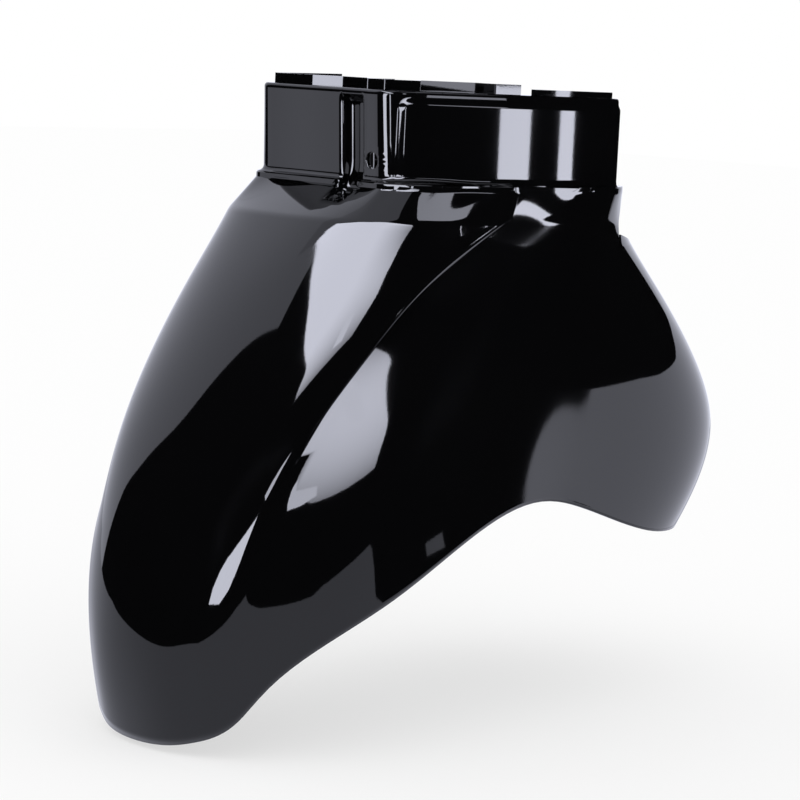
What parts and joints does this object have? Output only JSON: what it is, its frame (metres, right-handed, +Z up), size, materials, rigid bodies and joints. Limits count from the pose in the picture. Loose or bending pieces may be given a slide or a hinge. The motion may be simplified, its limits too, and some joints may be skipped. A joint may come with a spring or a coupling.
{
  "type": "motorcycle front mudguard",
  "caption": "Gloss black moulded front mudguard: crowned nose with a crease down each side, rounded tail, and an open-backed collar that sits round the fork.",
  "frame": {"origin": "centre of the stem hole in the fork shelf, at mid thickness of the shelf", "axes": "+X forward over the wheel, +Y to the rider's left, +Z up the steering axis"},
  "size_m": [0.5045, 0.221, 0.4149],
  "materials": {
    "gloss_black": "high-gloss black moulded plastic"
  },
  "bodies": {
    "root": {"front_mudguard": "gloss_black"}
  },
  "joints": []
}
